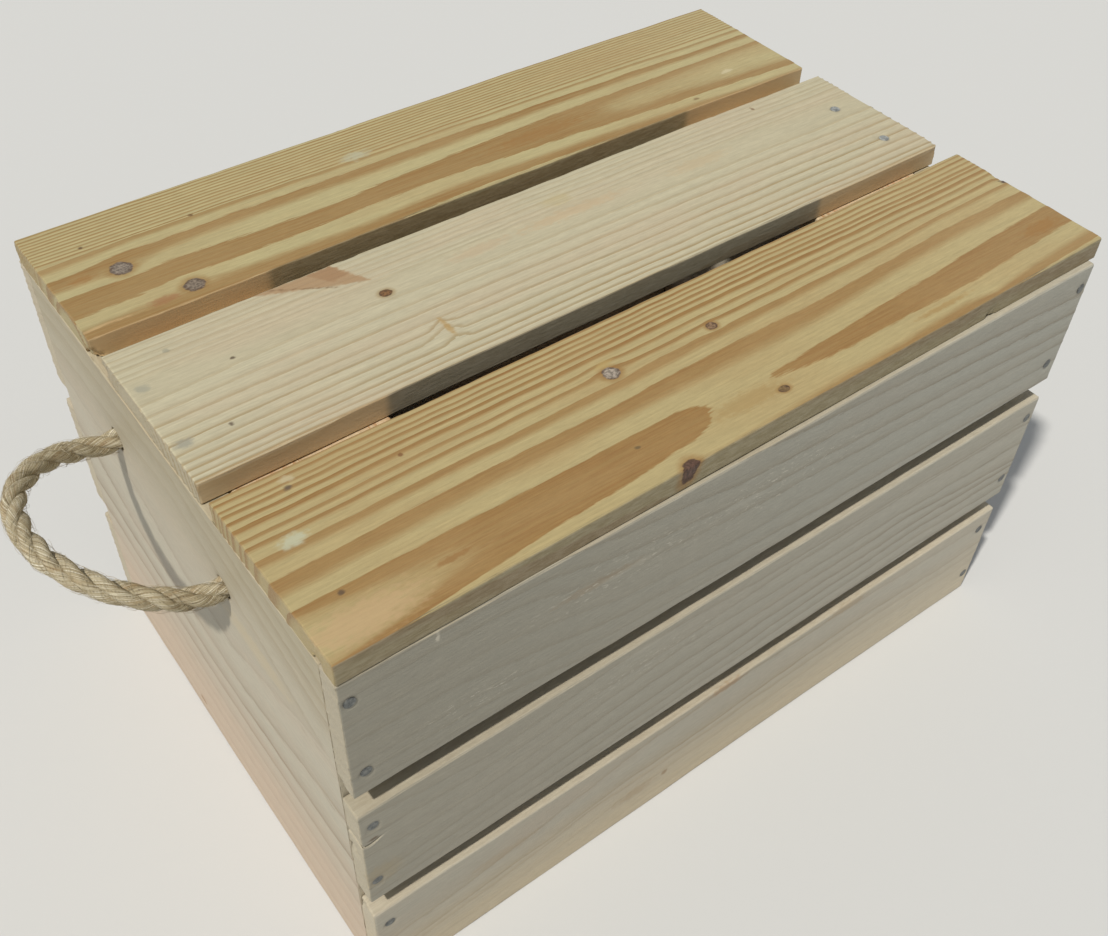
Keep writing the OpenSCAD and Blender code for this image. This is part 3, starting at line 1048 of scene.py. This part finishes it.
# Stretches, from u to u, where the long edges of a lid board are paler: painted bounce light above the
# battens
PAINTED_BOUNCE_STRETCHES = ((0, 134), (526, 670))
LID_REAR = dict(
    LID_WOOD, early=(178, 166, 123), late=(154, 125, 79), deep=(140, 106, 62), tint=(167, 142, 100),
    edge_tones=((146, 128, 94), (170, 154, 122)), painted_bounce_edge=PAINTED_BOUNCE_STRETCHES,
    seed=5, pith_depth=27.0, pitch=3.8, ragged=0.28,
    pith=[(0, 37), (75, 40), (220, 40), (300, 43), (380, 42.5), (450, 40.5), (520, 40.5), (590, 39.5),
          (660, 37)],
    above=[
        ([(0, 26), (455, 29), (473, 35), (478, 45), (500, 48), (545, 50), (590, 53), (660, 54)],
         [(0, 50), (75, 52), (150, 50), (220, 49), (250, 52), (300, 55), (380, 58), (450, 60), (660, 61)]),
        ([(0, 58), (36, 60), (62, 60), (84, 65), (110, 68), (300, 69), (450, 71), (660, 70.5)],
         [(0, 74), (30, 75), (60, 79), (150, 80), (300, 81), (380, 81), (520, 79), (660, 77)]),
        ([(0, 84.5), (40, 86), (70, 89), (220, 89), (380, 88.5), (520, 87), (660, 84)],
         [(0, 91), (70, 95), (220, 93.5), (300, 91.5), (520, 90), (660, 87.5)]),
        *bands((1.7, 97, 96.5, 94.5), (1.6, 101, 100.5, 98.5), (1.8, 105, 104.5, 102.5),
               (1.5, 108.8, 108.3, 106.5), (1.7, 112.6, 112, 110.3), (1.5, 116.3, 115.7, 114),
               (1.6, 120, 119.3, 117.8), (1.5, 123.5, 123, 121.5), (1.6, 127.2, 126.5, 125.2),
               (1.5, 131, 130.2, 129)),
    ],
    below=[
        ([(0, 48), (455, 52), (473, 47), (478, 36), (500, 32), (545, 33), (560, 30), (590, 26), (660, 20)],
         [(0, 24), (75, 27), (150, 29), (250, 31), (300, 31), (380, 27), (450, 21), (520, 18), (590, 14),
          (660, 10)]),
        ([(0, 12.5), (50, 14), (100, 16), (220, 13.5), (300, 17), (380, 14), (450, 11), (520, 8), (590, 3.5),
          (660, 1)],
         [(0, -2), (150, 1), (260, 3), (300, 4.5), (400, 4), (460, 1), (660, -6)]),
        *bands((5, -8, -6, -14), (4, -16, -14, -22)),
    ],
    knots=[(50, 62, 7.6, 1.05, (146, 134, 122)), (84, 16, 7.0, 1.1, (140, 126, 112))],
    marks=[(36, 101, 2.6, 2, (92, 70, 48), 0.9), (118, 95, 2.4, 2.2, (108, 80, 50), 0.85),
           (260, 97, 15, 7, (176, 174, 148), 0.7), (60, 12, 14, 5, (150, 104, 70), 0.6),
           (22, 64, 12, 5, (148, 106, 58), 0.5), (400, 42, 60, 9, (146, 106, 58), 0.5),
           (545, 12, 4, 2, (110, 80, 50), 0.6), (600, 34, 9, 3, (206, 196, 164), 0.5)],
    blushes=[(0, 420, 660, (206, 194, 164), 0.06)],
)
LID_MIDDLE = dict(
    early=(187, 179, 152), late=(160, 141, 103), deep=(150, 126, 88), tint=(188, 170, 144),
    end_share=0.5, end_tone=(164, 152, 130), edge_share=0.7, edge_tones=((122, 112, 92), (142, 133, 116)),
    fuzz=0.2, seed=8, pith_depth=26.0, late_least=0.65, warp=0.35, pitch=6.0, late_soft=0.2, ragged=0.22,
    fade=(20, 96, 1.0, 0.4), painted_bounce_edge=PAINTED_BOUNCE_STRETCHES,
    pith=[(0, 94), (150, 98), (300, 99), (480, 97), (660, 94)],
    above=bands((3, 109, 110, 108), (2.5, 114, 114.5, 112), (3, 121, 122, 120), (2.5, 127, 128, 126),
                (2, 132, 133, 131), (2, 138, 139, 137)),
    below=[
        (3, [(0, 80), (150, 87), (220, 82.5), (380, 80.5), (520, 78), (660, 77)]),
        (2.4, [(0, 68), (75, 70.5), (150, 71.5), (300, 71), (450, 69), (590, 67), (660, 66)]),
        (2.2, [(0, 57), (75, 58.5), (150, 59.5), (300, 59.5), (450, 58.5), (590, 56.5), (660, 56)]),
        (2, [(0, 46), (75, 47.5), (180, 48.5), (300, 48.5), (450, 47.5), (590, 46.5), (660, 46)]),
        (1.8, [(0, 36.5), (75, 38.5), (150, 39.2), (188, 39), (203, 47), (210, 41), (300, 39.5), (450, 38.5),
               (660, 36.5)]),
        (2.2, [(0, 26.5), (75, 28.5), (180, 30), (203, 39), (212, 30.5), (300, 30), (450, 29.5), (590, 28.5),
               (660, 27)]),
        (2.2, [(0, 18.5), (75, 19.5), (190, 21), (204, 27), (214, 21), (300, 21.5), (450, 20.5), (520, 19),
               (660, 18.5)]),
        (1.8, [(0, 12), (75, 12.5), (150, 13.5), (300, 14.5), (450, 13), (520, 12), (660, 10.5)]),
        (1.6, [(0, 6.2), (75, 6.4), (150, 7.3), (300, 8.5), (450, 6.5), (660, 5.5)]),
        (1.6, [(0, 1.5), (330, 2.5), (660, 1)]),
    ],
    knots=[(188, 93, 3.8, 1.3, (136, 98, 62))],
    patches=[([(104, 143), (172, 143), (188, 111), (170, 117)], (160, 128, 94), 0.8),
             ([(118, 143), (121, 143), (166, 117), (160, 119)], (116, 88, 62), 0.8),
             ([(150, 143), (172, 143), (178, 126), (164, 124)], (148, 112, 80), 0.5)],
    marks=[(203, 38, 3.0, 13, (170, 138, 84), 0.7), (70, 91, 2.4, 2, (90, 76, 60), 0.85),
           (41, 35, 2.2, 3, (96, 82, 68), 0.85), (574, 133, 2, 3, (116, 86, 58), 0.8),
           (10, 96, 6, 5, (150, 148, 132), 0.7), (10, 36, 8, 5, (144, 142, 130), 0.7),
           (38, 122, 3, 3, (140, 138, 122), 0.6), (355, 99, 62, 7, (186, 158, 122), 0.42),
           (270, 99, 34, 7, (186, 158, 126), 0.36), (480, 96, 40, 8, (184, 160, 124), 0.35),
           (355, 118, 18, 9, (178, 162, 116), 0.35)],
)
LID_DRIFTS = dict(
    front=((0, 0.3, 4), (150, 1.5, 2.8), (300, 3, 4), (450, 3.6, 4.6), (590, 5, 6.5), (660, 5.4, 7.5)),
    middle=((0, 0.5, 1), (75, 1.2, 2), (150, 3, 3), (300, 4, 3.4), (520, 4, 3), (660, 5, 2.6)),
    back=((0, 0.5, -3.5), (75, 1, -3), (150, 2.4, -2.4), (250, 3.4, -2), (450, 2, -1.5), (660, 0.6, -2)),
)


def slat_wood(seed, pith, above, **more):
    """A front slat's figure: pale, faint rings, all on one side of a pith that is off the board."""
    return dict(
        SIDE_COLOURS, seed=seed, pith=[(0, pith)], above=[(4.0, line) for line in above], pitch=13.0,
        late_least=0.5, late_soft=0.3, ragged=0.5, **more,
    )


SLATS = dict(
    top=slat_wood(
        30, -34,
        [[(0, -22), (200, -12), (340, 4), (450, 14), (660, 28)],
         [(0, -10), (150, -2), (200, 8), (300, 22), (660, 46)],
         [(0, 3), (100, 5), (150, 13), (190, 25), (240, 34), (340, 44), (660, 64)],
         [(0, 16), (80, 17), (130, 23), (170, 37), (210, 46), (340, 58), (660, 78)],
         [(0, 42), (60, 43), (110, 47), (160, 60), (210, 72), (300, 82), (660, 96)],
         [(0, 60), (80, 63), (150, 80), (210, 92), (400, 106), (660, 116)],
         [(0, 84), (100, 88), (200, 106), (400, 120), (660, 130)]],
        marks=[(65, 6, 2, 5, (206, 198, 180), 0.7), (180, 41, 40, 5, (150, 128, 100), 0.35),
               (206, 44, 34, 3, (190, 184, 168), 0.3), (305, 43, 26, 4, (186, 182, 168), 0.22)],
        early=(172, 170, 158), late=(152, 144, 128), deep=(142, 133, 116), tint=(176, 169, 154),
        blushes=[(0, 660, 0, (148, 142, 126), 0.75)],
        # painted highlights where grazing light catches raised fibres
        flecks=[(200, 40, 90, 26), (340, 44, 110, 30), (90, 88, 60, 16)],
    ),
    middle=slat_wood(
        31, -50,
        [[(0, 8), (50, 18), (100, 24), (150, 20), (190, 12), (240, 8), (340, 16), (450, 20), (660, 24)],
         [(0, 29), (60, 37), (130, 38), (190, 32), (280, 31), (350, 26), (500, 23), (660, 29)],
         [(0, 54), (60, 62), (120, 59), (200, 49), (270, 41), (400, 46), (500, 47), (660, 54)],
         [(0, 86), (60, 84), (120, 77), (240, 63), (400, 61), (520, 59), (660, 76)],
         [(0, 98), (120, 94), (350, 77), (560, 75), (660, 82)],
         [(0, 110), (200, 102), (420, 90), (520, 87), (660, 92)],
         [(0, 122), (300, 108), (520, 100), (660, 106)]],
        marks=[(8, 37, 5, 2, (90, 66, 44), 0.7), (10, 86, 22, 16, (164, 146, 112), 0.35),
               (230, 10, 30, 4, (190, 184, 168), 0.25)],
        early=(178, 174, 160), late=(157, 148, 131), deep=(147, 138, 121), tint=(182, 173, 157),
        # the last list places painted highlights where grazing light catches raised fibres
        blushes=[(0, 660, 0, (152, 146, 130), 0.7)], flecks=[(240, 30, 90, 18)],
    ),
    bottom=slat_wood(
        32, -60,
        [[(0, 52), (60, 47), (100, 41), (150, 31), (250, 13), (350, 7), (520, 12), (660, 20)],
         [(0, 74), (50, 71), (100, 64), (160, 61), (230, 51), (300, 52), (400, 46), (500, 42), (600, 49),
          (660, 47)],
         [(0, 84), (50, 78), (110, 73), (200, 60), (270, 62), (400, 58), (520, 56), (660, 62)],
         [(0, 102), (80, 97), (150, 89), (240, 75), (300, 77), (400, 76), (500, 71), (660, 75)],
         [(0, 120), (200, 104), (400, 97), (660, 93)], [(0, 132), (200, 118), (400, 108), (660, 106)]],
        marks=[(330, 6, 24, 5, (160, 128, 92), 0.6), (470, 6, 30, 6, (166, 140, 106), 0.4),
               (240, 80, 26, 8, (166, 142, 110), 0.45), (272, 80, 4, 4, (146, 116, 84), 0.6),
               (110, 34, 40, 8, (168, 146, 116), 0.3)],
        early=(179, 173, 157), late=(162, 148, 126), deep=(150, 136, 114),
        # painted bounce light from the ground: paler and warmer towards the lower edge and the right end
        blushes=[(1, 20, 114, (206, 190, 160), 0.75), (0, 330, 660, (216, 210, 194), 0.26)],
    ),
)
END_PANEL = dict(
    SIDE_COLOURS, early=(182, 175, 157), late=(160, 146, 127), deep=(148, 133, 114),
    pith=[(0, 108), (200, 100), (422, 92)], pitch=20.0, pith_depth=60.0,
    late_least=0.5, late_soft=0.3, ragged=0.5,
    above=[
        (8, [(0, 96), (60, 120), (150, 150), (230, 140), (422, 60)]),
        (8, [(0, 172), (150, 200), (330, 190), (422, 150)]),
        (7, [(0, 226), (200, 236), (422, 214)]), (8, [(0, 266), (200, 264), (300, 258), (422, 246)]),
        (7, [(0, 296), (200, 294), (422, 276)]), (8, [(0, 316), (200, 315), (330, 306), (422, 316)]),
        (7, [(0, 340), (200, 338), (340, 328), (422, 340)]), (7, [(0, 372), (200, 371), (422, 360)]),
    ],
    below=[(8, [(0, 110), (80, 76), (200, 40), (422, 60)]), (8, [(0, 60), (200, 14), (422, 30)])],
    marks=[(278, 370, 7, 5, (150, 116, 84), 0.7), (100, 100, 60, 14, (190, 174, 140), 0.4)],
    # the panel greys towards its top; the paler, warmer tone towards its bottom is painted bounce light from
    # the ground
    blushes=[(1, 130, 0, (166, 156, 130), 0.75), (1, 200, 350, (200, 176, 154), 0.6)],
)


def plain_wood(seed, colours, width):
    """Grain of a board with no special features: a flat-sawn figure with straight rings beside it."""
    rng = np.random.default_rng(seed)
    middle = width * rng.uniform(0.3, 0.7)
    pith = [(place, middle + rng.uniform(-6, 6)) for place in (0, 170, 340, 500, 660)]
    sides = []
    for sign in (1, -1):
        rows, reach = [], rng.uniform(-6, 6)
        for _ in range(8):
            places = (0, 130, 260, 400, 530, 660)
            line = [(place, middle + sign * (reach + rng.uniform(-3, 3))) for place in places]
            rows.append((rng.uniform(2, 5), line))
            reach += rng.uniform(8, 13)
        sides.append(rows)
    return dict(
        colours, seed=seed, pith=pith, above=sides[0], below=sides[1],
        late_least=0.5, late_soft=0.25, ragged=0.4,
    )


# The points of one nail head are nearer to one another than this
HEAD_SPREAD = 9


def nail_places(board, group):
    """Where a group of nails enters a board, from the CAD nails' heads: their (u, v) on the board's face."""
    places = []
    points = np.array([v.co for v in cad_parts[group].data.vertices]) / MM
    local = (points - board.origin) @ board.axes.T
    heads = local[np.abs(local[:, 2]) < 0.01]
    inside = (heads[:, 0] > -1) & (heads[:, 0] < board.size[0] + 1)
    inside &= (heads[:, 1] > -1) & (heads[:, 1] < board.size[1] + 1)
    heads = heads[inside][:, :2]
    while len(heads):
        near = np.linalg.norm(heads - heads[0], axis=1) < HEAD_SPREAD
        middle = 0.5 * (heads[near].min(axis=0) + heads[near].max(axis=0))
        places.append(tuple(np.round(middle, 2)))
        heads = heads[~near]
    return places


def make_board(node, axes, wood, slot, body="box", nail_groups=(), **shape):
    """One board with its wood, in place of its CAD node. shape goes on to sawn."""
    board = Board(node, *axes)
    nails = [place for group in nail_groups for place in nail_places(board, group)]
    wood = dict(wood, nails=nails)
    piece = sawn(board, wood, nails, **shape)
    piece.data.materials.append(Pine(node + "_pine", board, wood).material)
    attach(piece, body)
    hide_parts(node)


def make_lid():
    top = (X, Y, DOWN)
    shape = dict(step=6.0, fine=1.0)
    make_board(
        "lid_board_front", top, LID_FRONT, "lid_wood", "lid", drift=LID_DRIFTS["front"], relief=0.12,
        chips=[(666, 99, 1, 7, 1.4), (542, 5, 18, 8, 4.0), (0, 18, 18, 8, 2.5)], **shape,
    )
    make_board(
        "lid_board_middle", top, LID_MIDDLE, "pale_wood", "lid", ["lid_top_nails"],
        drift=LID_DRIFTS["middle"], relief=0.3,
        chips=[(663, 3, 4, 8, 1.0), (0, 138, 14, 7, 2.5), (0, 40, 0, 5, 1.5)], **shape,
    )
    make_board(
        "lid_board_back", top, LID_REAR, "lid_wood", "lid", drift=LID_DRIFTS["back"], relief=0.15,
        cracks=[(-1, 60, 8, 1.4)], chips=[(0, 2, 17, 9, 4.0)], **shape,
    )
    for seed, label in ((21, "left"), (22, "right")):
        wood = plain_wood(seed, WARM_COLOURS, 114)
        groups = [f"lid_batten_nails_{label}"]
        make_board(f"lid_batten_{label}", (Y, X, Z), wood, "frame_wood", "lid", groups, step=9.0)


def make_sides():
    front_shapes = dict(
        top=dict(chips=[(0, 117, 18, 10, 5.0)], drift=((0, 0.6, 3.8), (300, 0, 3.4), (660, -0.3, 2.6))),
        middle=dict(cracks=[(-1, 18, 37, 5.0)], chips=[(188, 117, 0, 4.5, 3.0), (0, 58, 14, 8, 3.0)],
                    drift=((0, 3, 3.6), (120, 2.2, 3.4), (300, 1.2, 3.2), (660, -0.6, 2.4))),
        bottom=dict(chips=[(0, 5, 16, 7, 2.5)],
                    drift=((0, 2, 0), (350, 2.6, 0), (480, 1.6, 0), (660, -0.4, 0))),
    )
    for side, inward in (("front", Y), ("back", (0, -1, 0))):
        groups = [f"{side}_slat_nails_{end}" for end in ("left", "right")]
        for number, row in enumerate(("bottom", "middle", "top")):
            wood = SLATS[row] if side == "front" else plain_wood(40 + number, SIDE_COLOURS, 114)
            shape = front_shapes[row] if side == "front" else {}
            axes = (X, DOWN, inward)
            make_board(f"{side}_slat_{row}", axes, wood, "slat_wood", "box", groups, step=7.0, **shape)


def make_ends():
    for end, label, inward, seed in ((-1, "left", X, 50), (1, "right", (-1, 0, 0), 52)):
        wood = dict(END_PANEL, seed=seed)
        low, high = box_mm(f"end_panel_{label}")
        rope = RopeHoles(end)
        holes = [(y - low[1], high[2] - rope.z, ROPE_HOLE_D / 2) for y in (rope.front, rope.back)]
        shape = dict(step=7.0, fine=3.0, edge=0.7, holes=holes)
        make_board(f"end_panel_{label}", (Y, DOWN, inward), wood, "panel_wood", **shape)


def make_floor_boards():
    for seed, row in ((60, "front"), (61, "middle"), (62, "back")):
        wood = plain_wood(seed, INSIDE_SHADE_FLOOR_COLOURS, 140)
        groups = ["floor_board_nails_left", "floor_board_nails_right"]
        make_board(f"floor_board_{row}", (X, Y, DOWN), wood, "frame_wood", "box", groups, step=10.0)
    for seed, label, inward in ((63, "left", (-1, 0, 0)), (64, "right", X)):
        wood = plain_wood(seed, WARM_COLOURS, 19)
        groups = [f"floor_cleat_nails_{label}"]
        make_board(f"floor_cleat_{label}", (Y, Z, inward), wood, "frame_wood", "box", groups, step=10.0)


def nail_material(name, lightness, metallic):
    tree = Tree(name)
    coordinates = tree.nodes.new("ShaderNodeTexCoord")
    place = tree.vector("SCALE", coordinates.outputs["Object"])
    place.node.inputs["Scale"].default_value = 1 / MM
    cloud = tree.noise(place, (0.35, 0.35, 0.35), 3.0, 0.6)
    pits = tree.noise(place, (1.6, 1.6, 1.6), 3.0, 0.6)
    stops = ((0.30, (84, 86, 86)), (0.55, (120, 122, 120)), (0.75, (150, 150, 144)))
    colour = tree.ramp(cloud, [(at, from_srgb(*(lightness * level for level in tone))) for at, tone in stops])
    tree.put(tree.shader.inputs["Base Color"], colour)
    tree.shader.inputs["Metallic"].default_value = metallic
    tree.put(tree.shader.inputs["Roughness"], tree.span(pits, 0.3, 0.7, 0.38, 0.62))
    tree.bump(tree.math("MULTIPLY", pits, 0.12))
    return tree.material


HEAD_ROUNDING = 0.3


def finish_nails():
    """The CAD's nails stay, with a rounded edge to each head and a worn steel finish."""
    steel = nail_material("nail_steel", 1.0, 0.75)
    dull = nail_material("nail_steel_dull", 1.25, 0.1)
    for name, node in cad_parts.items():
        if "nails" not in name:
            continue
        node.data.materials.clear()
        node.data.materials.append(dull if name == "lid_top_nails" else steel)
        bevel = node.modifiers.new("rounded", "BEVEL")
        bevel.width = HEAD_ROUNDING * MM
        bevel.segments = 2
        bevel.limit_method = "ANGLE"
        bevel.angle_limit = math.radians(50)


# In metres: the floor is a little under the crate, so that no two faces meet
FLOOR_LEVEL = -0.0005
FLOOR_REACH = 30
FLOOR_GREY = (0.60, 0.60, 0.59, 1.0)


def add_floor():
    mesh = bpy.data.meshes.new("floor")
    signs = ((-1, -1), (1, -1), (1, 1), (-1, 1))
    mesh.from_pydata([(FLOOR_REACH * x, FLOOR_REACH * y, FLOOR_LEVEL) for x, y in signs], [], [(0, 1, 2, 3)])
    floor = bpy.data.objects.new("floor", mesh)
    bpy.context.scene.collection.objects.link(floor)
    tree = Tree("floor")
    tree.shader.inputs["Base Color"].default_value = FLOOR_GREY
    tree.shader.inputs["Roughness"].default_value = 0.9
    mesh.materials.append(tree.material)


make_lid()
make_sides()
make_ends()
make_floor_boards()
finish_nails()
add_floor()
